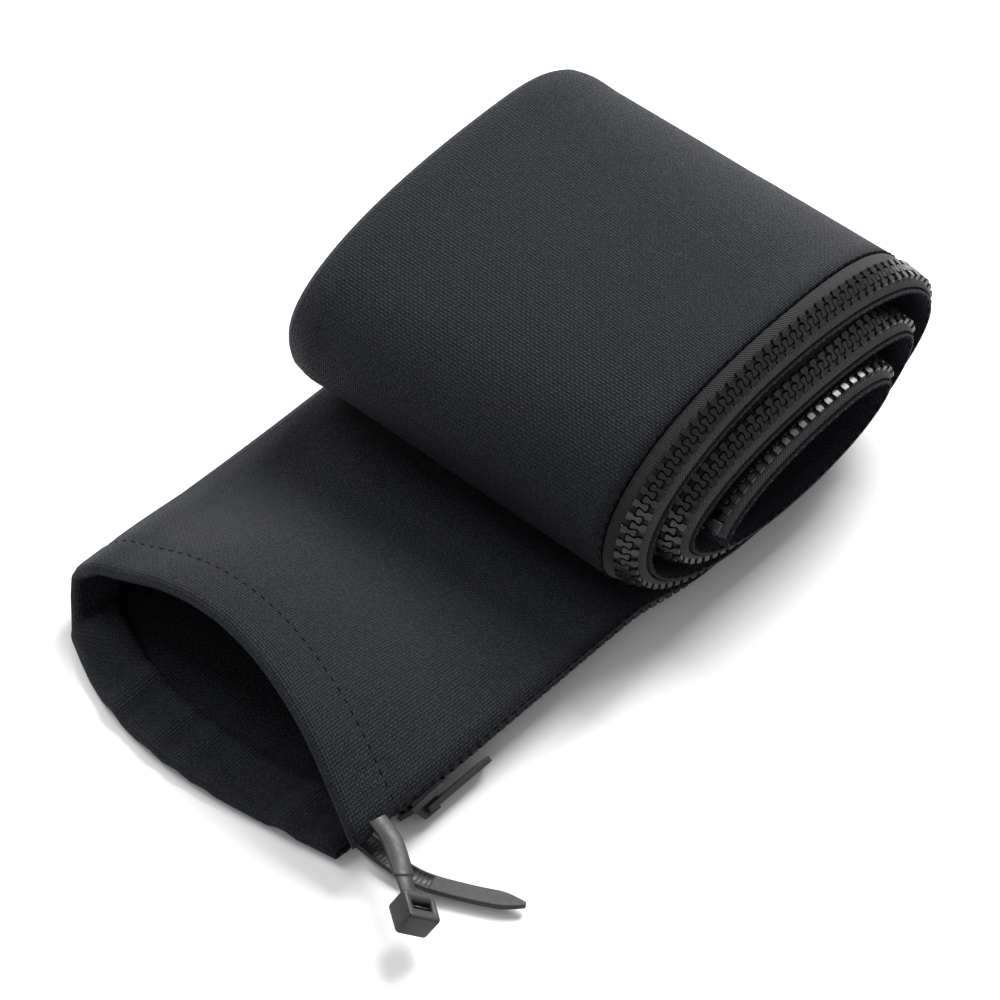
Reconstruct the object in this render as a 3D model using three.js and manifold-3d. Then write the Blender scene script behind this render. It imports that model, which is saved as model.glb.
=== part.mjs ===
// Zippered cable sleeve: a flat woven tube with a moulded zip along one long edge,
// rolled up loosely with its first stretch left lying out flat towards -Y.
// The open mouth of that stretch has a hem with a cable tie threaded through it.
// Millimetres, +Z up. X runs along the roll with the zip at +X, the mouth faces -Y,
// and the origin is on the floor below the middle of the free stretch.
import * as THREE from 'three';
import Module from 'manifold-3d';
import { mergeVertices } from 'three/addons/utils/BufferGeometryUtils.js';

const wasm = await Module();
wasm.setup();

// Driving dimensions
const flatWidth = 112; // fold to zip edge with the tube pressed flat
const clothThick = 0.9;
const foldHalf = 1.2; // half the distance between the two faces at the left fold
const hemDepth = 15;
const clearance = 0.3; // between touching pieces
const tapeWidth = 3; // what shows of each tape beside the chain
const tapeThick = 0.6;
const chainWidth = 6;
const toothThick = 2.6;
const toothPitch = 3.2; // on one side
const toothReach = 1.1; // a tooth's tip past the middle of the chain
const tieWidth = 4.8;
const tieThick = 1.2;
const tieHead = 8.4;
const tieHeadDeep = 6.4;
const tieHeadLong = 8;
const tieSlot = [2.2, 5.4];
const stopLength = 3;
const tapeEnd = 2; // from the end of the tapes to the end of the cloth
const teethEnd = 6; // from the last tooth to the end of the tapes
const sliderLength = 12;
const sliderPlate = 1.2;
const sliderWall = 1.4;
const tabLength = 20;
const tabWidth = 5;
const tabThick = 1.4;
const tabCorner = 2;
const pinRadius = 0.6;
const sink = 0.1; // how far joined pieces run into each other
const originBack = 60; // from the origin back to where the roll's places are counted from
const tongue = 3.6; // how much further each inner turn sticks out at the zip side
const mouthRise = 23; // how far the upper face stands up at the mouth
const noseRise = 8; // how far the fold is lifted at the mouth
const mouthSetBack = 9; // how far the middle of the upper face lies behind the mouth's corners
const lipReach = 14; // how far the lower face's lip lies in front of them
const lipSkew = 0.75; // under 1 puts the lip's foremost place nearer to the fold
const cornerPull = 4.5; // how far the fold is drawn in at the mouth

// The roll's lowest, rearmost, highest and foremost places, turn by turn, as [y, z]
// of the middle of the flat tube, along its zip side and along its fold side.
const zipSide = [
  [15, 2.5], [98, 31], [46, 58], [-13, 28],
  [24, 7.4], [86.5, 31], [50, 46], [-2, 27],
  [32, 13.1], [74.5, 28], [53, 36.8], [8, 22.5],
];
const foldSide = [
  [15, 1.7], [99, 32], [68, 52.5], [-10, 26.5],
  [24, 6.2], [89, 30], [62, 48], [-4, 24],
  [32, 10.7], [81, 27], [58, 42], [2, 23],
];
const zipCurve = 2; // 2 is an ellipse, more is squarer
const foldCurve = 2.3;
// How flat the zip band is pressed at each of those places: 0 stands open, 1 is flat.
const pressed = [1, 1, 0, 0.5, 1, 1, 0, 0.5, 1, 0.8, 0.8, 0.8];
const openLean = 35; // degrees that the open band leans outwards
const tapeLean = 40; // degrees of the inner tape where the band is pressed flat
const mouthY = -108; // zip side
const mouthSkew = 17; // the fold side of the mouth lies this much further back
const tailEnd = -15; // where the free stretch goes under the roll
const tailRows = 8;
const pressRows = 3;
const quarterRows = 5;

const deg = Math.PI / 180;
const openDepth = (2 * tapeWidth + chainWidth) * Math.cos(openLean * deg);
const zipRest = openDepth / 2 + clothThick / 2; // middle of the open band when the cloth lies on the floor
const foldRest = foldHalf + clothThick / 2;
const mix = (a, b, t) => a + (b - a) * t;
const smooth = (t) => t * t * (3 - 2 * t);

// One quarter of a flattened turn from a to b.
function quarterPoint(a, b, t, power, fromLevel) {
  const quick = Math.sin(t * Math.PI / 2) ** (2 / power);
  const slow = 1 - Math.max(0, Math.cos(t * Math.PI / 2)) ** (2 / power);
  return fromLevel
    ? [mix(a[0], b[0], quick), mix(a[1], b[1], slow)]
    : [mix(a[0], b[0], slow), mix(a[1], b[1], quick)];
}

// Rows across the sleeve, from the mouth to the inner end.
function makeRows() {
  const rows = [];
  for (let i = 0; i <= tailRows; i++) {
    const t = i / tailRows;
    rows.push({
      zip: [mix(mouthY, tailEnd, t), zipRest],
      fold: [mix(mouthY + mouthSkew, tailEnd, t), foldRest],
      press: 0,
      gape: smooth(1 - t),
      turn: 0,
    });
  }
  for (let i = 1; i <= pressRows; i++) {
    const t = i / pressRows;
    rows.push({
      zip: [mix(tailEnd, zipSide[0][0], t), mix(zipRest, zipSide[0][1], smooth(t))],
      fold: [mix(tailEnd, foldSide[0][0], t), mix(foldRest, foldSide[0][1], t)],
      press: smooth(t),
      gape: 0,
      turn: 0,
    });
  }
  for (let k = 0; k < zipSide.length - 1; k++) {
    for (let i = 1; i <= quarterRows; i++) {
      const t = i / quarterRows;
      rows.push({
        zip: quarterPoint(zipSide[k], zipSide[k + 1], t, zipCurve, k % 2 === 0),
        fold: quarterPoint(foldSide[k], foldSide[k + 1], t, foldCurve, k % 2 === 0),
        press: mix(pressed[k], pressed[k + 1], smooth(t)),
        gape: 0,
        turn: (k + t) / 4,
      });
    }
  }
  for (const side of ['zip', 'fold']) {
    rows.forEach((row, i) => {
      const before = rows[Math.max(0, i - 1)][side];
      const after = rows[Math.min(rows.length - 1, i + 1)][side];
      const dy = after[0] - before[0];
      const dz = after[1] - before[1];
      const length = Math.hypot(dy, dz);
      row[side + 'Out'] = [dz / length, -dy / length];
    });
  }
  rows.forEach(addBand);
  return rows;
}

// The zip band's section at a row: outer seam, chain start, chain end, inner seam.
function addBand(row) {
  const chainLean = mix(openLean, 90, row.press) * deg;
  const innerLean = mix(openLean, tapeLean, row.press) * deg;
  const steps = [[tapeWidth, chainLean], [chainWidth, chainLean], [tapeWidth, innerLean]];
  const reach = steps.reduce((sum, [size, lean]) => sum + size * Math.sin(lean), 0);
  const depth = steps.reduce((sum, [size, lean]) => sum + size * Math.cos(lean), 0);
  let x = flatWidth / 2 - reach + tongue * row.turn;
  let out = depth / 2;
  row.depth = depth;
  row.seamX = x;
  row.edgeX = x + reach;
  const at = (px, n) => new THREE.Vector3(px, row.zip[0] + row.zipOut[0] * n, row.zip[1] + row.zipOut[1] * n);
  row.band = [at(x, out)];
  for (const [size, lean] of steps) {
    x += size * Math.sin(lean);
    out -= size * Math.cos(lean);
    row.band.push(at(x, out));
  }
}

const rows = makeRows();

// Places across the section, from the outer seam round the fold to the inner seam.
const across = [1, 0.82, 0.64, 0.46, 0.28, 0.13, 0.04];
const section = [
  ...across.map((w) => ({ w, face: 1 })),
  { w: 0, face: 0 },
  ...[...across].reverse().map((w) => ({ w, face: -1 })),
];

// A point of the cloth's middle surface.
function clothPoint(row, place) {
  const { w, face } = place;
  const right = face > 0 ? row.seamX : row.edgeX;
  const half = mix(foldHalf, row.depth / 2, w);
  const outY = mix(row.foldOut[0], row.zipOut[0], w);
  const outZ = mix(row.foldOut[1], row.zipOut[1], w);
  const length = Math.hypot(outY, outZ);
  const bow = face > 0
    ? -lipReach * row.gape * Math.sin(Math.PI * w ** lipSkew)
    : mouthSetBack * row.gape * Math.sin(Math.PI * w);
  const y = mix(row.fold[0], row.zip[0], w) + outY / length * half * face + bow;
  let z = mix(row.fold[1], row.zip[1], w) + outZ / length * half * face;
  const near = Math.max(0, 1 - w / 0.3);
  if (face > 0) z += row.gape * noseRise * 0.25 * near * near * near;
  else if (face === 0) z += row.gape * noseRise;
  else z += row.gape * mouthRise * Math.sin(Math.PI * Math.min(1, 0.12 + 0.88 * w)) ** 0.8;
  return new THREE.Vector3(mix(-flatWidth / 2 + row.gape * cornerPull, right, w), y, z);
}

// Normals of a grid of points, by the differences along it and across it.
function gridNormals(grid) {
  return grid.map((line, i) => line.map((_, j) => {
    const along = grid[Math.min(grid.length - 1, i + 1)][j].clone().sub(grid[Math.max(0, i - 1)][j]);
    const over = line[Math.min(line.length - 1, j + 1)].clone().sub(line[Math.max(0, j - 1)]);
    return over.cross(along).normalize();
  }));
}

// A closed body from a grid of rings: each ring is a closed loop of points.
function ringBody(rings) {
  const count = rings[0].length;
  const positions = rings.flat().flatMap((p) => [p.x, p.y, p.z]);
  const index = [];
  for (let i = 0; i < rings.length - 1; i++) {
    for (let j = 0; j < count; j++) {
      const a = i * count + j;
      const b = i * count + (j + 1) % count;
      index.push(a, b, b + count, a, b + count, a + count);
    }
  }
  const last = (rings.length - 1) * count;
  capRing(index, 0, count, true);
  capRing(index, last, count, false);
  const geometry = new THREE.BufferGeometry();
  geometry.setAttribute('position', new THREE.Float32BufferAttribute(positions, 3));
  geometry.setIndex(index);
  return geometry;
}

// Rings are strips, point j facing point count-1-j, so a cap is a ladder of quads.
function capRing(index, start, count, first) {
  for (let j = 0; j < count / 2 - 1; j++) {
    const a = start + j;
    const b = start + j + 1;
    const c = start + count - 2 - j;
    const d = start + count - 1 - j;
    if (first) index.push(a, d, c, a, c, b);
    else index.push(a, b, c, a, c, d);
  }
}

// Turns a body whose faces point inwards the right way round.
function facingOut(geometry) {
  const p = geometry.attributes.position;
  const order = geometry.index.array;
  let volume = 0;
  const [a, b, c] = [new THREE.Vector3(), new THREE.Vector3(), new THREE.Vector3()];
  for (let i = 0; i < order.length; i += 3) {
    a.fromBufferAttribute(p, order[i]);
    b.fromBufferAttribute(p, order[i + 1]);
    c.fromBufferAttribute(p, order[i + 2]);
    volume += a.dot(b.cross(c));
  }
  if (volume < 0) {
    for (let i = 0; i < order.length; i += 3) {
      [order[i], order[i + 1]] = [order[i + 1], order[i]];
    }
  }
  return geometry;
}

// The hem is folded into the mouth and leaves a channel for the tie.
const channelStep = clothThick + tieThick + 2 * clearance;

function makeClothGrid() {
  const grid = rows.map((row) => section.map((place) => clothPoint(row, place)));
  const normals = gridNormals(grid);
  const along = (j, distance) => {
    const step = grid[1][j].clone().sub(grid[0][j]);
    return grid[0][j].clone().addScaledVector(step.normalize(), distance);
  };
  const hem = [hemDepth, hemDepth / 2, channelStep / 2].map((distance) => (
    section.map((_, j) => along(j, distance).addScaledVector(normals[0][j], -channelStep))
  ));
  hem.push(section.map((_, j) => along(j, 0).addScaledVector(normals[0][j], -channelStep / 2)));
  const mouth = section.map((_, j) => along(j, channelStep / 2));
  const stitch = section.map((_, j) => along(j, hemDepth));
  return [...hem, mouth, stitch, ...grid.slice(2)];
}

function makeFabric() {
  const grid = makeClothGrid();
  const normals = gridNormals(grid);
  const rings = grid.map((line, i) => {
    const outer = line.map((p, j) => p.clone().addScaledVector(normals[i][j], clothThick / 2));
    const inner = line.map((p, j) => p.clone().addScaledVector(normals[i][j], -clothThick / 2));
    return [...outer, ...inner.reverse()];
  });
  return facingOut(ringBody(rings));
}

// The zip band between the rows, by a row number that may be a fraction.
function bandAt(number) {
  const i = Math.min(rows.length - 2, Math.floor(number));
  const t = number - i;
  const points = rows[i].band.map((p, k) => p.clone().lerp(rows[i + 1].band[k], t));
  const out = (a, b) => {
    const over = points[b].clone().sub(points[a]).normalize();
    const along = rows[i + 1].band[a].clone().sub(rows[i].band[a]);
    return along.cross(over).normalize();
  };
  return { points, chainOut: out(1, 2), outerOut: out(0, 1), innerOut: out(2, 3) };
}

// The row number at each distance along the middle of the chain.
const chainMiddles = rows.map((row) => row.band[1].clone().add(row.band[2]).multiplyScalar(0.5));
const chainLengths = [0];
for (let i = 1; i < rows.length; i++) {
  chainLengths.push(chainLengths[i - 1] + chainMiddles[i].distanceTo(chainMiddles[i - 1]));
}
function rowAt(distance) {
  let i = 0;
  while (i < rows.length - 2 && chainLengths[i + 1] < distance) i++;
  return i + (distance - chainLengths[i]) / (chainLengths[i + 1] - chainLengths[i]);
}

const zipStart = hemDepth + 2; // both tapes begin behind the hem
const zipLength = chainLengths[rows.length - 1] - tapeEnd;

// The inner tape meets the cloth at a sharp angle, so it starts further from the seam.
const innerTapeMargin = (clothThick / 2 + clearance + tapeThick / 2 * Math.sin(tapeLean * deg))
  / Math.cos(tapeLean * deg);

function makeTape(outer) {
  const numbers = [rowAt(zipStart)];
  for (let i = Math.ceil(numbers[0] + 0.2); i < rows.length - 1; i++) numbers.push(i);
  numbers.push(rowAt(zipLength));
  const margin = outer ? clothThick / 2 + clearance : innerTapeMargin;
  const rings = numbers.map((number) => {
    const { points, outerOut, innerOut } = bandAt(number);
    const [from, to, out] = outer ? [points[0], points[1], outerOut] : [points[3], points[2], innerOut];
    const over = to.clone().sub(from).normalize();
    const a = from.clone().addScaledVector(over, margin);
    const b = to.clone().addScaledVector(over, -clearance / 2);
    const lift = out.clone().multiplyScalar(tapeThick / 2);
    return [a.clone().add(lift), b.clone().add(lift), b.clone().sub(lift), a.clone().sub(lift)];
  });
  return facingOut(ringBody(rings));
}

// Where the slider stands, along the chain, and where its post parts the teeth.
const sliderAt = zipStart + sliderLength / 2 + 1;
const teethStart = sliderAt + 1;

// One side of the chain: teeth on a bead, as one moulded strip with a zigzag edge.
function makeTeeth(outer) {
  const count = Math.floor((zipLength - teethEnd - teethStart) / toothPitch);
  const flank = Math.hypot(toothReach * 2, toothPitch / 2) / (toothPitch / 2);
  const gap = clearance / 2 * flank;
  const point = (distance, across, side) => {
    const { points, chainOut } = bandAt(rowAt(distance));
    const middle = points[1].clone().lerp(points[2], across / chainWidth);
    return middle.addScaledVector(chainOut, side * toothThick / 2);
  };
  const back = outer ? clearance / 2 : chainWidth - clearance / 2;
  const sign = outer ? -1 : 1;
  const positions = [];
  const index = [];
  const push = (p) => {
    positions.push(p.x, p.y, p.z);
    return positions.length / 3 - 1;
  };
  const column = (distance, place) => [push(point(distance, place, 1)), push(point(distance, place, -1))];
  const quad = (a, b, c, d) => index.push(a, b, c, a, c, d);
  let previous = null;
  for (let i = 0; i <= count; i++) {
    const distance = teethStart + i * toothPitch;
    const valley = column(distance, chainWidth / 2 - toothReach + sign * gap);
    const heel = column(distance, back);
    if (previous) {
      const crest = column(distance - toothPitch / 2, chainWidth / 2 + toothReach + sign * gap);
      for (const [side, flip] of [[0, false], [1, true]]) {
        const tris = [
          [previous.heel[side], previous.valley[side], crest[side]],
          [previous.heel[side], crest[side], heel[side]],
          [heel[side], crest[side], valley[side]],
        ];
        for (const [a, b, c] of tris) index.push(...(flip ? [a, c, b] : [a, b, c]));
      }
      quad(previous.valley[1], crest[1], crest[0], previous.valley[0]);
      quad(crest[1], valley[1], valley[0], crest[0]);
      quad(previous.heel[0], heel[0], heel[1], previous.heel[1]);
    } else {
      quad(heel[0], heel[1], valley[1], valley[0]);
    }
    previous = { valley, heel };
  }
  quad(previous.heel[0], previous.valley[0], previous.valley[1], previous.heel[1]);
  const geometry = new THREE.BufferGeometry();
  geometry.setAttribute('position', new THREE.Float32BufferAttribute(positions, 3));
  geometry.setIndex(index);
  return facingOut(geometry);
}

// Solids for joining and cutting.
function solidOf(geometry) {
  const bare = geometry.clone();
  for (const name of ['normal', 'uv']) bare.deleteAttribute(name);
  const merged = facingOut(mergeVertices(bare, 1e-4));
  return new wasm.Manifold(new wasm.Mesh({
    numProp: 3,
    vertProperties: new Float32Array(merged.attributes.position.array),
    triVerts: new Uint32Array(merged.index.array),
  }));
}
function geometryOf(solid) {
  const mesh = solid.getMesh();
  const geometry = new THREE.BufferGeometry();
  geometry.setAttribute('position', new THREE.Float32BufferAttribute(mesh.vertProperties, 3));
  geometry.setIndex(Array.from(mesh.triVerts));
  return geometry;
}
function box(x0, x1, y0, y1, z0, z1) {
  const geometry = new THREE.BoxGeometry(x1 - x0, y1 - y0, z1 - z0);
  return geometry.translate((x0 + x1) / 2, (y0 + y1) / 2, (z0 + z1) / 2);
}
function plate(shape, thick, z) {
  const geometry = new THREE.ExtrudeGeometry(shape, { depth: thick, bevelEnabled: false, curveSegments: 6 });
  return geometry.translate(0, 0, z);
}

// The slider in its own frame: x towards the outer seam, y along the chain, z outwards.
const channelHalf = toothThick / 2 + clearance;
const channelWide = (chainWidth + clearance) / 2;
const sliderHalf = channelWide + sliderWall;
const sliderTop = channelHalf + sliderPlate;
const sliderCorner = 1;
const sliderTaper = 0.9; // how much each side draws in at the closed end
const railEnd = 1; // from the slider's ends to its rails and post
const postHalf = 0.9;
const lugHigh = 3.2;
const lugHalf = 3.4;
const lugSlope = 1.2;
const lugThick = 1.6;
const lugHole = pinRadius + clearance;
const pinHeight = sliderTop + 1.7;
const forkDepth = 3.4; // of the gap in the tab that the lug stands in
const heel = 1.3; // the tab behind its pin

function sliderOutline() {
  const shape = new THREE.Shape();
  const shoulder = sliderLength * 0.12;
  const end = sliderLength / 2;
  shape.moveTo(-sliderHalf, -end + sliderCorner);
  shape.quadraticCurveTo(-sliderHalf, -end, -sliderHalf + sliderCorner, -end);
  shape.lineTo(sliderHalf - sliderCorner, -end);
  shape.quadraticCurveTo(sliderHalf, -end, sliderHalf, -end + sliderCorner);
  shape.lineTo(sliderHalf, shoulder);
  shape.lineTo(sliderHalf - sliderTaper, end);
  shape.lineTo(-sliderHalf + sliderTaper, end);
  shape.lineTo(-sliderHalf, shoulder);
  shape.closePath();
  return shape;
}

// The ear on the slider's top plate, with a round hole for the tab's pin.
function makeLug() {
  const shape = new THREE.Shape();
  shape.moveTo(-lugHalf, 0);
  shape.lineTo(lugHalf, 0);
  shape.lineTo(lugHalf - lugSlope, lugHigh);
  shape.lineTo(-lugHalf + lugSlope, lugHigh);
  shape.closePath();
  const hole = new THREE.Path();
  hole.absarc(0, pinHeight - sliderTop + sink, lugHole, 0, 2 * Math.PI, true);
  shape.holes.push(hole);
  const lug = plate(shape, lugThick, -lugThick / 2);
  return solidOf(lug.rotateX(Math.PI / 2).rotateZ(Math.PI / 2).translate(0, 0, sliderTop - sink));
}

function makeSlider() {
  const outline = sliderOutline();
  const end = sliderLength / 2 - railEnd;
  const low = tapeThick / 2 + clearance;
  let solid = solidOf(plate(outline, sliderPlate, channelHalf));
  solid = solid.add(solidOf(plate(outline, sliderPlate, -sliderTop)));
  for (const side of [-1, 1]) {
    const edges = [channelWide * side, (sliderHalf - sliderTaper) * side];
    const [x0, x1] = [Math.min(...edges), Math.max(...edges)];
    solid = solid.add(solidOf(box(x0, x1, -end, end, low, channelHalf + sink)));
    solid = solid.add(solidOf(box(x0, x1, -end, end, -channelHalf - sink, -low)));
  }
  const post = box(-postHalf, postHalf, -end, -clearance * 2, -channelHalf - sink, channelHalf + sink);
  return geometryOf(solid.add(solidOf(post)).add(makeLug()));
}

// The pull tab in the slider's frame, turning about the pin along x.
function makeTab() {
  const cheek = lugThick / 2 + clearance;
  const half = tabWidth / 2;
  const shape = new THREE.Shape();
  shape.moveTo(-half, -heel);
  shape.lineTo(half, -heel);
  shape.lineTo(half, tabLength - tabCorner);
  shape.quadraticCurveTo(half, tabLength, half - tabCorner, tabLength);
  shape.lineTo(-half + tabCorner, tabLength);
  shape.quadraticCurveTo(-half, tabLength, -half, tabLength - tabCorner);
  shape.closePath();
  const fork = box(-cheek, cheek, -heel - 1, forkDepth + 1, -tabThick, tabThick);
  const pin = new THREE.CylinderGeometry(pinRadius, pinRadius, tabWidth - 2 * sink, 10).rotateZ(Math.PI / 2);
  return geometryOf(solidOf(plate(shape, tabThick, -tabThick / 2)).subtract(solidOf(fork)).add(solidOf(pin)));
}

// A bar of rectangular section along points, wide across and thin along thin.
function strap(points, wides, thins, widths, thick) {
  const rings = points.map((p, i) => {
    const w = wides[i].clone().multiplyScalar(widths[i] / 2);
    const h = thins[i].clone().multiplyScalar(thick / 2);
    return [p.clone().add(w).add(h), p.clone().sub(w).add(h), p.clone().sub(w).sub(h), p.clone().add(w).sub(h)];
  });
  return facingOut(ringBody(rings));
}

// The cable tie: head, strap through the hem's channel, and ribbed tail.
const tieRow = 7.5; // distance of the strap's middle from the mouth
const tieTip = 1.6; // width of the tail's tip
const headTurn = [0.1, 0.35, 0.6]; // how far the strap has turned onto its edge on the way to the head
// Outside the hem, as [x, y, z] from the place where each end leaves the hem.
const headRoute = [[9, -2.5, -1], [18, -8, -2], [24.5, -12.5, -2.6]];
const tailRoute = [[9, -0.5, 0.1], [19, 0, 0.2], [30, 4, 0.3], [38, 8, 0.3], [42, 10, 0.3]];

function makeTie() {
  const first = rows[0];
  const next = rows[1];
  const grid = [first, next].map((row) => section.map((place) => clothPoint(row, place)));
  const normals = gridNormals(grid)[0];
  const steps = section.map((_, j) => grid[1][j].clone().sub(grid[0][j]).normalize());
  const inside = section.map((_, j) => grid[0][j].clone()
    .addScaledVector(steps[j], tieRow)
    .addScaledVector(normals[j], -channelStep / 2));
  const up = new THREE.Vector3(0, 0, 1);
  const tail = tailRoute.map(([x, y, z]) => inside[0].clone().add(new THREE.Vector3(x, y, z))).reverse();
  const head = headRoute.map(([x, y, z]) => inside.at(-1).clone().add(new THREE.Vector3(x, y, z)));
  const points = [...tail, ...inside, ...head];
  const thins = [...tail.map(() => up.clone().negate()), ...normals, ...head.map(() => up.clone())];
  const sideways = new THREE.Vector3(0.5, 0.85, 0).normalize();
  head.forEach((_, k) => {
    thins[tail.length + inside.length + k].lerp(sideways, headTurn[k]).normalize();
  });
  const wides = points.map((_, i) => {
    const k = i - tail.length;
    if (k >= 0 && k < inside.length) return steps[k];
    const along = points[Math.min(points.length - 1, i + 1)].clone().sub(points[Math.max(0, i - 1)]);
    const wide = along.cross(thins[i]).normalize();
    return wide.y < 0 ? wide.negate() : wide;
  });
  const widths = points.map((_, i) => (i === 0 ? tieTip : tieWidth));
  const bar = strap(points, wides, thins, widths, tieThick);
  const last = points.at(-1);
  const along = last.clone().sub(points.at(-2)).normalize();
  const wide = wides.at(-1).clone();
  const thin = along.clone().cross(wide).normalize();
  wide.copy(thin.clone().cross(along)).normalize();
  const place = new THREE.Matrix4().makeBasis(along, wide, thin);
  place.setPosition(last.clone().addScaledVector(along, tieHeadLong / 2 - 1));
  const half = tieHead / 2;
  const block = box(-tieHeadLong / 2, tieHeadLong / 2, -half, half, -tieHeadDeep / 2, tieHeadDeep / 2);
  const slot = box(-tieSlot[0] / 2, tieSlot[0] / 2, -tieSlot[1] / 2, tieSlot[1] / 2, -tieHeadDeep, tieHeadDeep);
  const head3d = solidOf(block.applyMatrix4(place)).add(solidOf(bar));
  return geometryOf(head3d.subtract(solidOf(slot.applyMatrix4(place))));
}

// The stop past the last tooth, across both tapes' inner edges.
function makeStop() {
  const { points, chainOut } = bandAt(rowAt(zipLength - teethEnd / 2));
  const over = points[2].clone().sub(points[1]).normalize();
  const along = chainOut.clone().cross(over).normalize();
  const place = new THREE.Matrix4().makeBasis(over, along, chainOut);
  place.setPosition(points[1].clone().add(points[2]).multiplyScalar(0.5));
  const half = chainWidth / 2 - clearance / 2;
  return box(-half, half, -stopLength / 2, stopLength / 2, -toothThick / 2, toothThick / 2).applyMatrix4(place);
}

const group = new THREE.Group();
group.position.y = originBack;

const woven = new THREE.MeshStandardMaterial({ color: '#33353a', roughness: 0.85, metalness: 0 });
const tapeFinish = new THREE.MeshStandardMaterial({ color: '#2c2c2e', roughness: 0.9, metalness: 0 });
const toothFinish = new THREE.MeshStandardMaterial({ color: '#1d1e20', roughness: 0.3, metalness: 0 });
const sliderFinish = new THREE.MeshStandardMaterial({ color: '#3a3b3e', roughness: 0.35, metalness: 0.6 });
const nylon = new THREE.MeshStandardMaterial({ color: '#38393b', roughness: 0.5, metalness: 0 });

function named(name, geometry, material) {
  const mesh = new THREE.Mesh(geometry, material);
  mesh.name = name;
  return mesh;
}
function addMesh(name, geometry, material) {
  group.add(named(name, geometry, material));
}

addMesh('sleeve_fabric', makeFabric(), woven);
addMesh('zip_tape_outer', makeTape(true), tapeFinish);
addMesh('zip_tape_inner', makeTape(false), tapeFinish);
addMesh('zip_teeth_outer', makeTeeth(true), toothFinish);
addMesh('zip_teeth_inner', makeTeeth(false), toothFinish);

const sliderPlace = bandAt(rowAt(sliderAt));
const sliderX = sliderPlace.points[1].clone().sub(sliderPlace.points[2]).normalize();
const sliderZ = sliderPlace.chainOut;
const sliderY = sliderZ.clone().cross(sliderX).normalize();
const slider = new THREE.Group();
slider.position.copy(sliderPlace.points[1]).add(sliderPlace.points[2]).multiplyScalar(0.5);
slider.quaternion.setFromRotationMatrix(new THREE.Matrix4().makeBasis(sliderX, sliderY, sliderZ));
group.add(slider);
slider.add(named('zip_slider', makeSlider(), sliderFinish));
const tab = named('zip_pull_tab', makeTab(), sliderFinish);
tab.position.z = pinHeight;
slider.add(tab);

addMesh('zip_end_stop', makeStop(), toothFinish);
addMesh('cable_tie', makeTie(), nylon);

export default group;
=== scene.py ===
"""Zippered cable sleeve: woven tube with a moulded zip, loosely rolled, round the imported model."""

import math
from collections import namedtuple

import bmesh
import bpy
import numpy as np
from bpy.props import FloatProperty, FloatVectorProperty, IntProperty, PointerProperty
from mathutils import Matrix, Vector, noise


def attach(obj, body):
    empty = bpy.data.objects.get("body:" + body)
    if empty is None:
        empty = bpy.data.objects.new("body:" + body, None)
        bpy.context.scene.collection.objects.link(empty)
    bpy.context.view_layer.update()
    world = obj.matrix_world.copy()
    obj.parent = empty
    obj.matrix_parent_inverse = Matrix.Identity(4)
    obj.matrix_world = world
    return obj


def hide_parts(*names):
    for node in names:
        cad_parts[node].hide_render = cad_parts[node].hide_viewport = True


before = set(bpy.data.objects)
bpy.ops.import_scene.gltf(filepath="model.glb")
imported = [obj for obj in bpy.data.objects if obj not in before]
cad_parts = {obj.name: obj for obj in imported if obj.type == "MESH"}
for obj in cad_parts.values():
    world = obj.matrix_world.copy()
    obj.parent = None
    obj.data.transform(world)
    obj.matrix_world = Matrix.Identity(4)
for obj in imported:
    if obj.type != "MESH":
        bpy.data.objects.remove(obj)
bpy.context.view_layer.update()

bl_info = {
    "name": "Zippered cable sleeve",
    "version": (1, 0, 0),
    "blender": (4, 5, 0),
    "location": "View3D > Sidebar > Sleeve",
    "description": "Builds a loosely rolled cable sleeve with its zip, slider and cable tie",
    "category": "Object",
}

MM = 0.001
BODY = "sleeve"
TAB_BODY = "pull_tab"

# Lengths are in millimetres up to the camera's. Those of the roll repeat the part's source.

# The roll's lowest, rearmost, highest and foremost places, turn by turn, as (y, z) of the
# middle of the flat tube, along its zip side and along its fold side.
ZIP_SIDE = (
    (15, 2.5), (98, 31), (46, 58), (-13, 28),
    (24, 7.4), (86.5, 31), (50, 46), (-2, 27),
    (32, 13.1), (74.5, 28), (53, 36.8), (8, 22.5),
)
FOLD_SIDE = (
    (15, 1.7), (99, 32), (68, 52.5), (-10, 26.5),
    (24, 6.2), (89, 30), (62, 48), (-4, 24),
    (32, 10.7), (81, 27), (58, 42), (2, 23),
)
# How flat the zip band is pressed at each of those places: 0 stands open, 1 is flat.
PRESSED = (1, 1, 0, 0.5, 1, 1, 0, 0.5, 1, 0.8, 0.8, 0.8)
# How full a quarter turn is: 2 makes an ellipse, and more makes it squarer.
ZIP_CURVE = 2.0
FOLD_CURVE = 2.3
# Steps of the guide along the free stretch, up to the roll and in each quarter turn
TAIL_ROWS = 8
PRESS_ROWS = 3
QUARTER_ROWS = 5
# Finer steps inside each of those, and how many of them a direction is taken over
FINE_STEPS = 20
DIRECTION_REACH = 8

# The free stretch and its open mouth
MOUTH_Y = -108.0
MOUTH_SKEW = 17.0
TAIL_END = -15.0
ORIGIN_BACK = 60.0
TONGUE = 3.6
MOUTH_RISE = 23.0
ARCH_START = 0.12
ARCH_FULLNESS = 0.8
MOUTH_SET_BACK = 9.0
LIP_REACH = 14.0
LIP_SKEW = 0.75
NOSE_RISE = 8.0
NOSE_REACH = 0.3
NOSE_UNDER = 0.25
CORNER_PULL = 4.5
OPEN_LEAN = math.radians(35)
TAPE_LEAN = math.radians(40)
CLEARANCE = 0.3

# Knots of the section, as shares of the width, and how far the last ones lie from the fold
ACROSS = (1, 0.82, 0.64, 0.46, 0.28, 0.13, 0.04)
SECTION = [(w, 1) for w in ACROSS] + [(0, 0)] + [(w, -1) for w in reversed(ACROSS)]
FOLD_KNOT = 4.5
# Below 1 sets the cloth's columns closer together towards the fold.
COLUMN_EASE = 0.85

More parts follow.
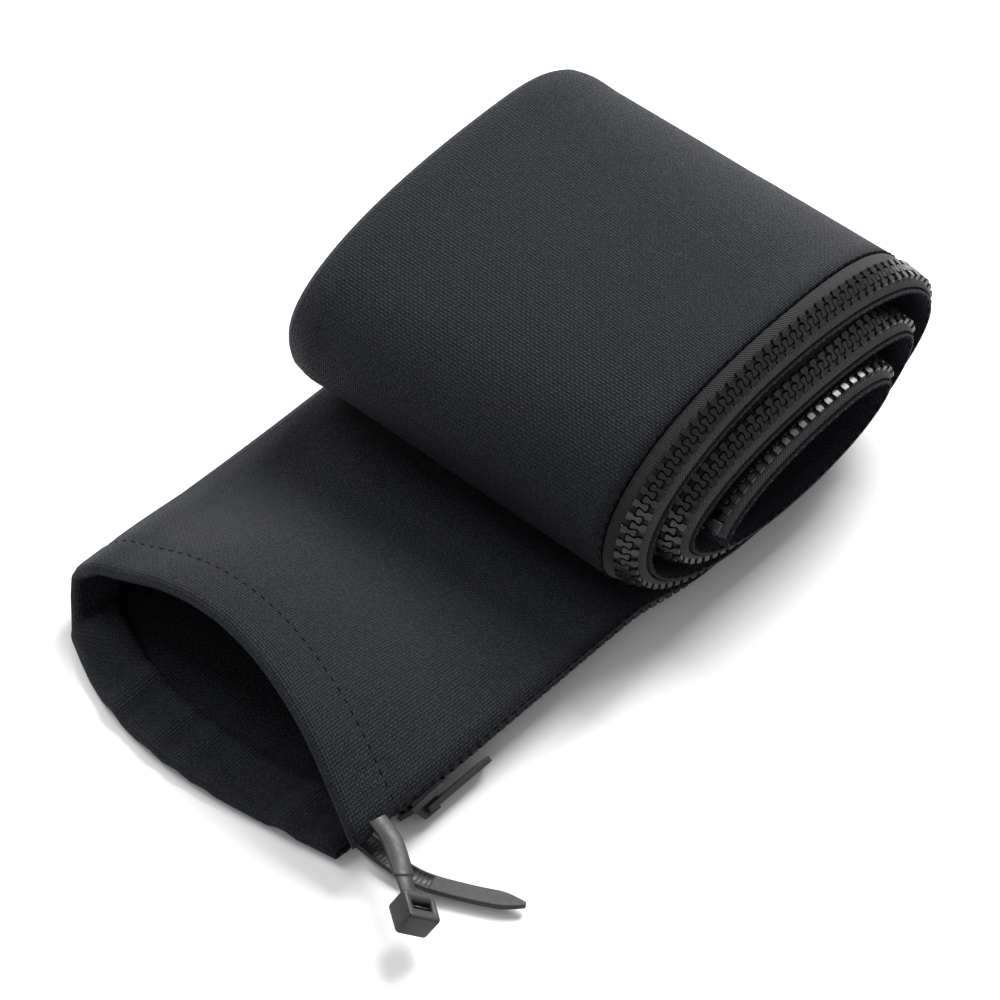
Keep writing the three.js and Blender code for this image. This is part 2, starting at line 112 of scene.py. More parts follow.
# Soft waves of the cloth, as waves to a millimetre across and along it
WIDE_WAVE = (0.03, 0.022)
CREASE_WAVE = (0.11, 0.05)
LIP_WAVE = (0.13, 0.03)
WIDE_SHARE = 1.2
CREASE_SHARE = 0.5
LIP_WAVE_HEIGHT = 2.6
LIP_REST = 34.0
CALM_SHARE = 0.12
# Where in the noise each wave is read
OUTER_SEED = 3.1
INNER_SEED = 9.7
CREASE_SEED = 1.7
LIP_SEED = 5.0

# Hem and stitches
HEM_INSIDE_ROWS = 8
HEM_TURN_ROWS = 7
HEM_ROWS = HEM_INSIDE_ROWS + HEM_TURN_ROWS
HEM_WAY_ROWS = 4
HEM_STITCH_INSET = 1.5
STITCH_PULL = 0.35
STITCH_PULL_REACH = 1.1
SEAM_INSET = 1.6
THREAD_RADIUS = 0.22
THREAD_SIDES = 6
THREAD_STEPS = 6
THREAD_TAPER = 0.94
THREAD_SINK = 1.5
LOOK_AHEAD = 0.5

# Zip
PATH_STEP = 1.5
WAY_ROWS = 2
TAPE_STEP = 1.6
TAPE_END = 2.0
TAPE_HALF = 0.3
OUTER_TAPE_START = 0.5
INNER_TAPE_START = 1.25
# Where the cord on the tape's edge rises, is full, is last full and ends
CORD = (0.7, 1.0, 1.6, 1.9)
CORD_HALF = 0.75
TOOTH_PITCH = 3.2
TOOTH_THICK = 2.6
TOOTH_BEVEL = 0.28
TOOTH_TOP = 0.84
TOOTH_TOP_ACROSS = 0.4
# Half a tooth's outline from heel to tip: place towards the other side, and half its width
HALF_TOOTH = (
    (-2.9, 0.85), (-2.75, 0.98), (-1.55, 1.02), (-1.15, 0.56), (-0.65, 0.48),
    (-0.15, 0.66), (0.35, 0.9), (0.8, 0.94), (1.08, 0.66),
)
TEETH_START = 1.0
TEETH_END = 6.0
SLIDER_LENGTH = 12.0
SLIDER_GAP = 1.0

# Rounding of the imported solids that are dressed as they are
MERGE_DISTANCE = 0.004
FLAT_ANGLE = math.radians(1)
SHARP_ANGLE = math.radians(28)
EDGE_FULLNESS = 0.6
SLIDER_EDGE = 0.25
TAB_EDGE = 0.3
STOP_EDGE = 0.4

# Cable tie
TIE_THICK = 1.2
TIE_ROW = 7.5
TIE_STEP = 0.3
TIE_SKIP = 3
HEAD_ROUTE = ((9, -2.5, -1), (18, -8, -2), (24.5, -12.5, -2.6))
HEAD_TURN = (0.1, 0.25, 0.4)
HEAD_SIDE = (0.5, 0.85, 0.0)
TAIL_ROUTE = ((9, -0.5, 0.1), (19, 0, 0.2), (30, 4, 0.3), (38, 8, 0.3), (42, 10, 0.3))
TIE_RIB_PITCH = 1.15
RIB_DEPTH = 0.42
RIBS_START = 22.0
RIBS_END = 1.0
TIP_LENGTH = 7.0
TIP_WIDTH = 0.2
NECK_LENGTH = 7.5
NECK_NARROWER = 0.8
HEAD_LONG = 8.0
HEAD_WIDE = 8.4
HEAD_DEEP = 6.4
HEAD_CORNER = 0.9
HEAD_OVERLAP = 1.0
# The head's section from its slot to its side: share of the way, and drop from its face
HEAD_PROFILE = ((0, 0.5), (0.12, 0), (0.84, 0), (0.95, 0.15), (1, 0.6))
SLOT = (2.2, 5.4)
SLOT_CORNER = 0.25
CORNER_POINTS = 5
PAWL_SIDE = 0.5

# Yarns of the cloth and ribs of the tape. The real ones are about half as far apart, which is
# too fine to show in the picture, so both are drawn coarser.
YARN_PITCH = 0.78
YARN_HEIGHT = 0.3
RIB_PITCH = 0.55
RIB_CROSS_PITCH = 0.7
RIB_SLANT = 0.8
RIB_HEIGHT = 0.15
# Flecks of single fibres and slow drifts of tone in the cloth
FLECK = 0.667
DRIFT = 55.6
# Grains of the smooth finishes, drawn some ten times as coarse as the real ones to show at all
TEETH_GRAIN = 1.11
ENAMEL_GRAIN = 0.91
NYLON_GRAIN = 1.43
THREAD_GRAIN = 0.385
PATCH_GRAINS = 12
# Brightness against the piece's colour. The gap tones are painted shade between the cloth's yarns and
# between the tape's ribs; flecks and drifts are tone that differs at random
YARN_GAP_PAINTED_SHADE = 0.065
FLECK_TONE = 2.6
DRIFT_TONE = 0.78
# Painted shade in the grooves between the tape's ribs
TAPE_GAP_PAINTED_SHADE = 0.42

# Camera, lamps and floor, in metres. A lamp has its place, its size and its power's setting.
CAMERA_PLACE = (0.5637, -0.5731, 0.8639)
CAMERA_TARGET = (0.0142, 0.0477, 0.02)
LAMPS = {
    "key_lamp": ((-0.2, 1.1, 1.0), 0.8, "key_power"),
    "fill_lamp": ((-1.1, 0.1, 1.0), 0.8, "fill_power"),
    "front_lamp": ((0.7, -1.0, 0.5), 0.7, "front_power"),
}
FLOOR_HALF = 3.0

# Sockets of a Mix node, by number because several share a name. Those of a Map Range node,
# 1 to 4, are the limits it reads from and then the limits it turns them to.
FACTOR = 0
VALUE_A = 2
VALUE_B = 3
COLOUR_A = 6
COLOUR_B = 7
MIXED_COLOUR = 2

Row = namedtuple("Row", "zip fold zip_out fold_out gape depth seam_x edge_x band")


def linear(code):
    """An sRGB hex colour as linear red, green and blue."""
    parts = [int(code[i : i + 2], 16) / 255 for i in (1, 3, 5)]
    return tuple(c / 12.92 if c <= 0.04045 else ((c + 0.055) / 1.055) ** 2.4 for c in parts)


class SleeveSizes(bpy.types.PropertyGroup):
    """Sizes of the sleeve and its fittings."""

    flat_width: FloatProperty(
        name="Flat width", description="Fold to zip edge", default=0.112, unit="LENGTH"
    )
    cloth_thick: FloatProperty(
        name="Cloth", description="Thickness of the cloth", default=0.0009, unit="LENGTH"
    )
    fold_half: FloatProperty(
        name="Fold half", description="Half the gap between the faces at the fold",
        default=0.0012, unit="LENGTH",
    )
    hem_depth: FloatProperty(
        name="Hem", description="Depth of the mouth's hem", default=0.015, unit="LENGTH"
    )
    tape_width: FloatProperty(
        name="Tape", description="Tape beside the chain", default=0.003, unit="LENGTH"
    )
    chain_width: FloatProperty(
        name="Chain", description="Width of the chain", default=0.006, unit="LENGTH"
    )
    tie_width: FloatProperty(
        name="Tie strap", description="Width of the tie's strap", default=0.0048, unit="LENGTH"
    )
    stitch_length: FloatProperty(
        name="Stitch", description="Length of one stitch", default=0.0024, unit="LENGTH"
    )
    stitch_pitch: FloatProperty(
        name="Stitch pitch", description="From stitch to stitch", default=0.0031, unit="LENGTH"
    )
    row_step: FloatProperty(
        name="Row step", description="Distance between the cloth's rows", default=0.0021, unit="LENGTH"
    )
    columns: IntProperty(
        name="Columns", description="Columns of cloth on each side of the fold", default=44, min=12
    )
    wrinkle: FloatProperty(
        name="Wrinkle", description="Height of the cloth's soft waves", default=0.0004, unit="LENGTH"
    )


class SleeveColours(bpy.types.PropertyGroup):
    """Colours of the sleeve and its fittings."""

    cloth: FloatVectorProperty(
        name="Cloth", description="Crowns of the woven yarns", subtype="COLOR", default=linear("#181a1f")
    )
    tape: FloatVectorProperty(
        name="Tape", description="Ribs of the zip's tapes", subtype="COLOR", default=linear("#17181a")
    )
    teeth: FloatVectorProperty(
        name="Teeth", description="The zip's teeth and end stop", subtype="COLOR", default=linear("#0f1012")
    )
    enamel: FloatVectorProperty(
        name="Enamel", description="Slider and pull tab", subtype="COLOR", default=linear("#2a2c2f")
    )
    tie: FloatVectorProperty(
        name="Tie", description="The cable tie", subtype="COLOR", default=linear("#222325")
    )
    thread: FloatVectorProperty(
        name="Thread", description="Sewing thread", subtype="COLOR", default=linear("#101113")
    )


class StageSettings(bpy.types.PropertyGroup):
    """Light and floor of the picture."""

    key_power: FloatProperty(
        name="Key", description="Power of the lamp above and behind", default=41.0, unit="POWER"
    )
    fill_power: FloatProperty(
        name="Fill", description="Power of the lamp on the left", default=14.0, unit="POWER"
    )
    front_power: FloatProperty(
        name="Front", description="Power of the low lamp in front", default=2.0, unit="POWER"
    )
    world_strength: FloatProperty(
        name="Surround", description="Strength of the white surround", default=0.4
    )
    floor_colour: FloatVectorProperty(
        name="Floor", description="Colour of the floor", subtype="COLOR", default=(0.9, 0.9, 0.9)
    )


def sizes():
    """The scene's sleeve sizes."""
    return bpy.context.scene.sleeve_sizes


def colours():
    """The scene's sleeve colours."""
    return bpy.context.scene.sleeve_colours


def mm(value):
    """Metres as millimetres."""
    return value / MM


# Shape of the sleeve


def mix(a, b, t):
    """The value at share t of the way from a to b."""
    return a + (b - a) * t


def smooth(t):
    """A share of a way, eased at both ends."""
    return t * t * (3 - 2 * t)


def quarter_point(a, b, t, power, from_level):
    """A point of one quarter of a flattened turn from a to b."""
    quick = math.sin(t * math.pi / 2) ** (2 / power)
    slow = 1 - max(0.0, math.cos(t * math.pi / 2)) ** (2 / power)
    if from_level:
        return (mix(a[0], b[0], quick), mix(a[1], b[1], slow))
    return (mix(a[0], b[0], slow), mix(a[1], b[1], quick))


def rest_heights():
    """Heights of the open tube's middle over the floor, at the zip and at the fold."""
    s = sizes()
    band = mm(2 * s.tape_width + s.chain_width) * math.cos(OPEN_LEAN)
    wall = mm(s.cloth_thick) / 2
    return band / 2 + wall, mm(s.fold_half) + wall


def guide(t):
    """Middle of the tube at row number t: zip point, fold point, press, gape and turn."""
    zip_rest, fold_rest = rest_heights()
    if t <= TAIL_ROWS:
        k = t / TAIL_ROWS
        zip_point = (mix(MOUTH_Y, TAIL_END, k), zip_rest)
        fold_point = (mix(MOUTH_Y + MOUTH_SKEW, TAIL_END, k), fold_rest)
        return zip_point, fold_point, 0.0, smooth(max(0.0, 1 - k)), 0.0
    t -= TAIL_ROWS
    if t <= PRESS_ROWS:
        k = t / PRESS_ROWS
        zip_point = (mix(TAIL_END, ZIP_SIDE[0][0], k), mix(zip_rest, ZIP_SIDE[0][1], smooth(k)))
        fold_point = (mix(TAIL_END, FOLD_SIDE[0][0], k), mix(fold_rest, FOLD_SIDE[0][1], k))
        return zip_point, fold_point, smooth(k), 0.0, 0.0
    t = (t - PRESS_ROWS) / QUARTER_ROWS
    k = min(len(ZIP_SIDE) - 2, int(t))
    part = min(1.0, t - k)
    level = k % 2 == 0
    return (
        quarter_point(ZIP_SIDE[k], ZIP_SIDE[k + 1], part, ZIP_CURVE, level),
        quarter_point(FOLD_SIDE[k], FOLD_SIDE[k + 1], part, FOLD_CURVE, level),
        mix(PRESSED[k], PRESSED[k + 1], smooth(part)),
        0.0,
        (k + part) / 4,
    )


def outward(before, after):
    """Unit normal of a guide, away from the roll, from two of its points."""
    dy, dz = after[0] - before[0], after[1] - before[1]
    length = math.hypot(dy, dz)
    return (dz / length, -dy / length)


def row_from(here, before, after):
    """The row at a guide point, from the guide just before and just after it."""
    s = sizes()
    zip_point, fold_point, press, gape, turn = here
    zip_out = outward(before[0], after[0])
    fold_out = outward(before[1], after[1])
    chain_lean = mix(OPEN_LEAN, math.pi / 2, press)
    inner_lean = mix(OPEN_LEAN, TAPE_LEAN, press)
    tape, chain = mm(s.tape_width), mm(s.chain_width)
    steps = ((tape, chain_lean), (chain, chain_lean), (tape, inner_lean))
    reach = sum(size * math.sin(lean) for size, lean in steps)
    depth = sum(size * math.cos(lean) for size, lean in steps)
    corners = [(mm(s.flat_width) / 2 - reach + TONGUE * turn, depth / 2)]
    for size, lean in steps:
        x, out = corners[-1]
        corners.append((x + size * math.sin(lean), out - size * math.cos(lean)))
    band = [
        Vector((x, zip_point[0] + zip_out[0] * out, zip_point[1] + zip_out[1] * out))
        for x, out in corners
    ]
    return Row(zip_point, fold_point, zip_out, fold_out, gape, depth, corners[0][0], corners[-1][0], band)


def fine_rows(step):
    """Rows about step apart along the sleeve."""
    count = TAIL_ROWS + PRESS_ROWS + QUARTER_ROWS * (len(ZIP_SIDE) - 1)
    dense = [guide(i / FINE_STEPS) for i in range(count * FINE_STEPS + 1)]
    travelled = [0.0]
    for a, b in zip(dense, dense[1:]):
        travelled.append(travelled[-1] + (math.dist(a[0], b[0]) + math.dist(a[1], b[1])) / 2)
    wanted = int(travelled[-1] / step)
    picked = np.interp(np.linspace(0, travelled[-1], wanted + 1), travelled, np.arange(len(dense)))
    last = len(dense) - 1
    result = []
    for place in picked:
        i = min(last, int(round(place)))
        before = dense[max(0, i - DIRECTION_REACH)]
        after = dense[min(last, i + DIRECTION_REACH)]
        result.append(row_from(guide(place / FINE_STEPS), before, after))
    return result


def cloth_point(row, place):
    """A point of the cloth's middle surface, by its share of the width and its face."""
    s = sizes()
    w, face = place
    right = row.seam_x if face > 0 else row.edge_x
    half = mix(mm(s.fold_half), row.depth / 2, w)
    out_y = mix(row.fold_out[0], row.zip_out[0], w)
    out_z = mix(row.fold_out[1], row.zip_out[1], w)
    length = math.hypot(out_y, out_z)
    if face > 0:
        bow = -LIP_REACH * row.gape * math.sin(math.pi * w**LIP_SKEW)
    else:
        bow = MOUTH_SET_BACK * row.gape * math.sin(math.pi * w)
    y = mix(row.fold[0], row.zip[0], w) + out_y / length * half * face + bow
    z = mix(row.fold[1], row.zip[1], w) + out_z / length * half * face
    if face > 0:
        z += row.gape * NOSE_RISE * NOSE_UNDER * max(0.0, 1 - w / NOSE_REACH) ** 3
    elif face == 0:
        z += row.gape * NOSE_RISE
    else:
        arch = math.sin(math.pi * min(1, mix(ARCH_START, 1, w)))
        z += row.gape * MOUTH_RISE * arch**ARCH_FULLNESS
    return Vector((mix(-mm(s.flat_width) / 2 + row.gape * CORNER_PULL, right, w), y, z))


def hermite_matrix(knots, wanted):
    """Weights that turn values at knots into a smooth curve's values at wanted."""
    n = len(knots)
    slopes = np.zeros((n, n))
    for i in range(n):
        a, b = max(0, i - 1), min(n - 1, i + 1)
        if 0 < i < n - 1:
            left, right = knots[i] - knots[i - 1], knots[i + 1] - knots[i]
            slopes[i, i - 1] = -right / left / (left + right)
            slopes[i, i + 1] = left / right / (left + right)
            slopes[i, i] = (right - left) / (left * right)
        else:
            slopes[i, a] = -1 / (knots[b] - knots[a])
            slopes[i, b] = 1 / (knots[b] - knots[a])
    weights = np.zeros((len(wanted), n))
    for row, place in enumerate(wanted):
        k = min(n - 2, max(0, int(np.searchsorted(knots, place) - 1)))
        size = knots[k + 1] - knots[k]
        t = (place - knots[k]) / size
        weights[row, k] += 2 * t**3 - 3 * t**2 + 1
        weights[row, k + 1] += -2 * t**3 + 3 * t**2
        weights[row] += (t**3 - 2 * t**2 + t) * size * slopes[k]
        weights[row] += (t**3 - t**2) * size * slopes[k + 1]
    return weights


def section_columns(columns):
    """Smooth weights across the section, each column's place and its share of the width."""
    width = mm(sizes().flat_width)
    knots = np.array([width - width * w * (1 if face > 0 else -1) for w, face in SECTION])
    for i, (w, face) in enumerate(SECTION):
        if w == ACROSS[-1]:
            knots[i] = width + FOLD_KNOT * (-1 if face > 0 else 1)
    left = np.linspace(0, 1, columns + 1) ** COLUMN_EASE * width
    wanted = np.concatenate([left, (2 * width - left[::-1])[1:]])
    share = 1 - np.minimum(wanted, 2 * width - wanted) / width
    return hermite_matrix(knots, wanted), wanted, share


def travelled_along(points):
    """Distance of each point of a line from its first, or of each row of a grid, on average."""
    steps = np.linalg.norm(np.diff(points, axis=0), axis=-1)
    if steps.ndim > 1:
        steps = steps.mean(axis=1)
    return np.concatenate([[0.0], np.cumsum(steps)])


def grid_normals(grid):
    """Unit normals of a grid of points, facing away from the roll's inside on the outer face."""
    along = np.gradient(grid, axis=0)
    over = np.gradient(grid, axis=1)
    normals = np.cross(over, along)
    return normals / np.maximum(1e-9, np.linalg.norm(normals, axis=2))[:, :, None]


def wave(x, place, waves, seed):
    """Height of a soft wave, from -1 to 1, across and along the cloth."""
    return noise.noise(Vector((x * waves[0], place * waves[1], seed)))


def soft_waves(grid, normals, share, travelled):
    """Shallow waves of woven cloth that has been rolled, none beside the zip."""
    height = mm(sizes().wrinkle)
    depth = mm(sizes().hem_depth)
    result = grid.copy()
    for i, distance in enumerate(travelled):
        place = max(distance - depth, 0.0)
        at_lip = max(0.0, 1 - place / LIP_REST)
        for j in range(grid.shape[1]):
            outer_face = j * 2 < grid.shape[1]
            calm = min(1.0, (1 - share[j]) / CALM_SHARE)
            x = grid[i, j][0]
            wide = wave(x, place, WIDE_WAVE, OUTER_SEED if outer_face else INNER_SEED)
            crease = wave(x, place, CREASE_WAVE, CREASE_SEED)
            lift = height * (WIDE_SHARE * wide + CREASE_SHARE * crease) * calm
            if outer_face:
                fold = max(0.0, wave(x, place, LIP_WAVE, LIP_SEED))
                lift = min(0.0, lift) - LIP_WAVE_HEIGHT * at_lip * at_lip * fold * calm
            result[i, j] = grid[i, j] + normals[i, j] * lift
    return result


def cloth_body():
    """The cloth from the mouth's edge to the inner end, with its distances along and across."""
    weights, across, share = section_columns(sizes().columns)
    rows = fine_rows(mm(sizes().row_step))
    knots = np.array([[cloth_point(row, place) for place in SECTION] for row in rows])
    body = np.einsum("cs,rsk->rck", weights, knots)
    travelled = travelled_along(body)
    return soft_waves(body, grid_normals(body), share, travelled), travelled, across


def hem_edge(body):
    """The mouth's edge: its points, the way in along the cloth, its normals and the hem's gap."""
    step = body[HEM_WAY_ROWS] - body[0]
    step /= np.linalg.norm(step, axis=1)[:, None]
    return body[0], step, grid_normals(body)[0], mm(sizes().cloth_thick) + TIE_THICK + 2 * CLEARANCE


def cloth_grid():
    """Middle surface of the cloth with its hem, and its distances along and across."""
    body, travelled, across = cloth_body()
    start, step, normals, gap = hem_edge(body)
    depth = mm(sizes().hem_depth)
    inside = [start + step * d - normals * gap for d in np.linspace(depth, gap / 2, HEM_INSIDE_ROWS)]
    centre = start + step * gap / 2 - normals * gap / 2
    turned = []
    for angle in np.linspace(math.pi, 0, HEM_TURN_ROWS + 2)[1:-1]:
        turned.append(centre + normals * (math.cos(angle) * gap / 2) - step * (math.sin(angle) * gap / 2))
    kept = travelled > gap / 2
    grid = np.concatenate([np.array(inside), np.array(turned), body[kept]])
    pinch_stitches(grid, travelled[kept], depth - HEM_STITCH_INSET)
    return grid, travelled_along(grid), across


def pinch_stitches(grid, travelled, stitch_line):
    """Draws the hem's outer layer in along its stitch line."""
    normals = grid_normals(grid)
    for i, distance in enumerate(travelled, start=HEM_ROWS):
        pull = STITCH_PULL * math.exp(-(((distance - stitch_line) / STITCH_PULL_REACH) ** 2))
        grid[i] -= normals[i] * pull


def shell_mesh(name, grid, thick, along, across):
    """A closed mesh: the grid's surface thickened both ways, with its UV map in mm."""
    normals = grid_normals(grid)
    layers = [(grid + normals * side * thick / 2).reshape(-1, 3) for side in (1, -1)]
    rows, columns = grid.shape[:2]
    faces = []
    uvs = []

    def add(corners):
        """Adds a face whose corners are each a place in the grid and a layer."""
        faces.append([i + rows * columns * layer for i, layer in corners])
        uvs.extend((across[i % columns], along[i // columns]) for i, _ in corners)

    for r in range(rows - 1):
        for c in range(columns - 1):
            a = r * columns + c
            add([(a, 0), (a + 1, 0), (a + columns + 1, 0), (a + columns, 0)])
            add([(a, 1), (a + columns, 1), (a + columns + 1, 1), (a + 1, 1)])
    rims = [(r * columns, (r + 1) * columns) for r in range(rows - 1)]
    rims += [(b + columns - 1, a + columns - 1) for a, b in rims]
    last = (rows - 1) * columns
    rims += [(c + 1, c) for c in range(columns - 1)]
    rims += [(last + c, last + c + 1) for c in range(columns - 1)]
    for a, b in rims:
        add([(a, 0), (b, 0), (b, 1), (a, 1)])
    return mesh_object(name, shifted(np.concatenate(layers)), faces, uvs)


def mesh_object(name, points, faces, uvs=None):
    """An object at the origin from points in mm, with its faces turned outwards."""
    mesh = bpy.data.meshes.new(name)
    mesh.from_pydata([tuple(p) for p in np.asarray(points) * MM], [], faces)
    if uvs is not None:
        layer = mesh.uv_layers.new(name="cloth_mm")
        layer.data.foreach_set("uv", np.asarray(uvs, dtype=np.float32).ravel())
    mesh.validate()
    if signed_volume(mesh) < 0:
        mesh.flip_normals()
    mesh.update()
    mesh.shade_smooth()
    return linked(name, mesh)


def linked(name, data):
    """A new object in the scene, at the origin."""
    obj = bpy.data.objects.new(name, data)
    bpy.context.scene.collection.objects.link(obj)
    return obj


def signed_volume(mesh):
    """Six times the volume inside a closed mesh, negative if its faces point in."""
    mesh.calc_loop_triangles()
    points = np.array([v.co for v in mesh.vertices])
    corners = np.array([t.vertices for t in mesh.loop_triangles])
    a, b, c = (points[corners[:, k]] for k in range(3))
    return float(np.einsum("ij,ij->i", a, np.cross(b, c)).sum())


def ring_faces(count, rings, closed=False, first=0):
    """Faces of a body swept through rings of count points, capped or closed on itself."""
    faces = []
    for r in range(rings if closed else rings - 1):
        here = first + r * count
        there = first + (r + 1) % rings * count
        for c in range(count):
            d = (c + 1) % count
            faces.append([here + c, here + d, there + d, there + c])
    if not closed:
        faces.append([first + c for c in range(count)][::-1])
        faces.append([first + (rings - 1) * count + c for c in range(count)])
    return faces


def ring_mesh(name, rings, across=None, along=None):
    """A closed body swept through rings of points, with a UV map of the distances given."""
    count = len(rings[0])
    uvs = []
    if across is None:
        across, along = list(range(count + 1)), list(range(len(rings)))
    for before, after in zip(along, along[1:]):
        for left, right in zip(across, across[1:]):
            uvs += [(left, before), (right, before), (right, after), (left, after)]
    uvs += [(u, along[0]) for u in across[:count]][::-1]
    uvs += [(u, along[-1]) for u in across[:count]]
    points = [p for ring in rings for p in ring]
    return mesh_object(name, shifted(points), ring_faces(count, len(rings)), uvs)


def shifted(points):
    """Points of the roll's own places, moved into the model's frame."""
    return np.asarray(points, float) + (0, ORIGIN_BACK, 0)


# The zip band


class ZipPath:
    """Places along the zip band, by distance along the chain's middle."""

    def __init__(self, step):
        self.rows = fine_rows(step)
        middle = [(r.band[1] + r.band[2]) / 2 for r in self.rows]
        self.lengths = [0.0]
        for a, b in zip(middle, middle[1:]):
            self.lengths.append(self.lengths[-1] + (b - a).length)
        self.total = self.lengths[-1]

    def at(self, distance):
        """The band's four corners and the chain's outward, cross and along directions."""
        place = float(np.interp(distance, self.lengths, np.arange(len(self.rows))))
        last = len(self.rows) - 1
        i = min(last - 1, int(place))
        corners = [a.lerp(b, place - i) for a, b in zip(self.rows[i].band, self.rows[i + 1].band)]
        before = self.rows[max(0, i - WAY_ROWS)].band
        after = self.rows[min(last, i + 1 + WAY_ROWS)].band
        along = ((after[1] + after[2]) - (before[1] + before[2])).normalized()
        over = (corners[2] - corners[1]).normalized()
        out = along.cross(over).normalized()
        return corners, out, over, over.cross(out).normalized()


def tape_profile(outer):
    """Outline of a tape's section: distance from its seam, and height over its middle."""
    rise, full, last_full, end = (mm(sizes().tape_width) + place for place in CORD)
    start = OUTER_TAPE_START if outer else INNER_TAPE_START
    half = [(start, TAPE_HALF), (rise, TAPE_HALF), (full, CORD_HALF)]
    half += [(last_full, CORD_HALF), (end, TAPE_HALF)]
    return half + [(u, -k) for u, k in reversed(half)]


def zip_tape(name, path, outer):
    """One tape: a flat strip from the seam, ending in the cord that carries the teeth."""
    tape = mm(sizes().tape_width)
    profile = tape_profile(outer)
    lengths = np.arange(mm(sizes().hem_depth) + TAPE_END, path.total - TAPE_END, TAPE_STEP)
    rings = []
    for distance in lengths:
        corners, out, over, along = path.at(distance)
        seam, edge = (corners[0], corners[1]) if outer else (corners[3], corners[2])
        inward = over if outer else -over
        side = (edge - seam).normalized()
        lift = side.cross(along).normalized()
        if lift.dot(out) < 0:
            lift = -lift
        rings.append([
            seam + side * u + lift * k if u <= tape else edge + inward * (u - tape) + out * k
            for u, k in profile
        ])
    across = [u for u, _ in profile] + [profile[0][0]]
    obj = ring_mesh(name, rings, across, lengths)
    obj.data.materials.append(finish("zip_tape"))
    return obj


def tooth_template():
    """One tooth: x along the chain, y towards the other side, z outwards."""
    outline = [(-x, y) for y, x in HALF_TOOTH] + [(x, y) for y, x in reversed(HALF_TOOTH)]
    top = TOOTH_THICK / 2
    levels = ((-top, TOOTH_TOP), (TOOTH_BEVEL - top, 1.0), (top - TOOTH_BEVEL, 1.0), (top, TOOTH_TOP))
    middle = (HALF_TOOTH[0][0] + HALF_TOOTH[-1][0]) / 2
    points = []
    for z, shrink in levels:
        shrink_across = 1 - (1 - shrink) * TOOTH_TOP_ACROSS
        points += [(x * shrink, middle + (y - middle) * shrink_across, z) for x, y in outline]
    obj = mesh_object("tooth_template", points, ring_faces(len(outline), len(levels)))
    obj.data.shade_flat()
    return obj


def stitch_template():
    """One stitch: a thread lying in the cloth, its ends pulled in, x along the seam."""
    half = mm(sizes().stitch_length) / 2
    points = []
    for t in np.linspace(-1, 1, THREAD_STEPS + 1):
        thick = THREAD_RADIUS * math.sqrt(1 - THREAD_TAPER * t * t)
        sink = THREAD_RADIUS * THREAD_SINK * t * t
        for k in range(THREAD_SIDES):
            angle = 2 * math.pi * k / THREAD_SIDES
            points.append((t * half, math.cos(angle) * thick, math.sin(angle) * thick - sink))
    return mesh_object("stitch_template", points, ring_faces(THREAD_SIDES, THREAD_STEPS + 1))


def placing_tree():
    """Node tree: one copy of a piece on every point, turned by the points' two directions."""
    tree = bpy.data.node_groups.new("copies_on_points", "GeometryNodeTree")
    face = tree.interface
    face.new_socket("Geometry", in_out="INPUT", socket_type="NodeSocketGeometry")
    face.new_socket("Piece", in_out="INPUT", socket_type="NodeSocketObject")
    scale = face.new_socket("Scale", in_out="INPUT", socket_type="NodeSocketFloat")
    scale.default_value = 1.0
    face.new_socket("Finish", in_out="INPUT", socket_type="NodeSocketMaterial")
    face.new_socket("Geometry", in_out="OUTPUT", socket_type="NodeSocketGeometry")
    start = add_node(tree, "NodeGroupInput")
    piece = add_node(tree, "GeometryNodeObjectInfo", {"Object": start.outputs["Piece"]})
    out, along = (
        add_node(tree, "GeometryNodeInputNamedAttribute", {"Name": name}, data_type="FLOAT_VECTOR")
        for name in ("out", "along")
    )
    turn = add_node(tree, "FunctionNodeAxesToRotation", {
        "Primary Axis": out.outputs["Attribute"],
        "Secondary Axis": along.outputs["Attribute"],
    }, primary_axis="Z", secondary_axis="X")
    copies = add_node(tree, "GeometryNodeInstanceOnPoints", {
        "Points": start.outputs["Geometry"],
        "Instance": piece.outputs["Geometry"],
        "Rotation": turn.outputs["Rotation"],
        "Scale": start.outputs["Scale"],
    })
    real = add_node(tree, "GeometryNodeRealizeInstances", {"Geometry": copies.outputs["Instances"]})
    painted = add_node(tree, "GeometryNodeSetMaterial", {
        "Geometry": real.outputs["Geometry"],
        "Material": start.outputs["Finish"],
    })
    add_node(tree, "NodeGroupOutput", {"Geometry": painted.outputs["Geometry"]})
    return tree


def placed_copies(name, template, places, material):
    """Copies of a template at places, each a point, an outward and an along direction in mm."""
    tree = bpy.data.node_groups.get("copies_on_points") or placing_tree()
    mesh = bpy.data.meshes.new(name + "_points")
    mesh.from_pydata([tuple(p * MM) for p, _, _ in places], [], [])
    for label, index in (("out", 1), ("along", 2)):
        layer = mesh.attributes.new(label, "FLOAT_VECTOR", "POINT")
        layer.data.foreach_set("vector", [c for place in places for c in place[index]])
    obj = linked(name, mesh)
    modifier = obj.modifiers.new("copies", "NODES")
    modifier.node_group = tree
    values = {"Piece": template, "Scale": 1.0, "Finish": material}
    for item in tree.interface.items_tree:
        if item.in_out == "INPUT" and item.name in values:
            modifier[item.identifier] = values[item.name]
    bpy.context.view_layer.update()
    evaluated = obj.evaluated_get(bpy.context.evaluated_depsgraph_get())
    result = bpy.data.meshes.new_from_object(evaluated)
    obj.modifiers.remove(modifier)
    obj.data = result
    result.name = name
    for extra in ("out", "along"):
        if result.attributes.get(extra):
            result.attributes.remove(result.attributes[extra])
    bpy.data.meshes.remove(mesh)
    used = template.data
    bpy.data.objects.remove(template)
    bpy.data.meshes.remove(used)
    return obj


# Materials


def toned(colour, share=1.0):
    """A linear colour made darker or lighter by a share, with its alpha."""
    return (*(c * share for c in colour), 1.0)


def per_metre(size):
    """Scale of a noise whose grains are about size wide."""
    return 1 / (size * MM)


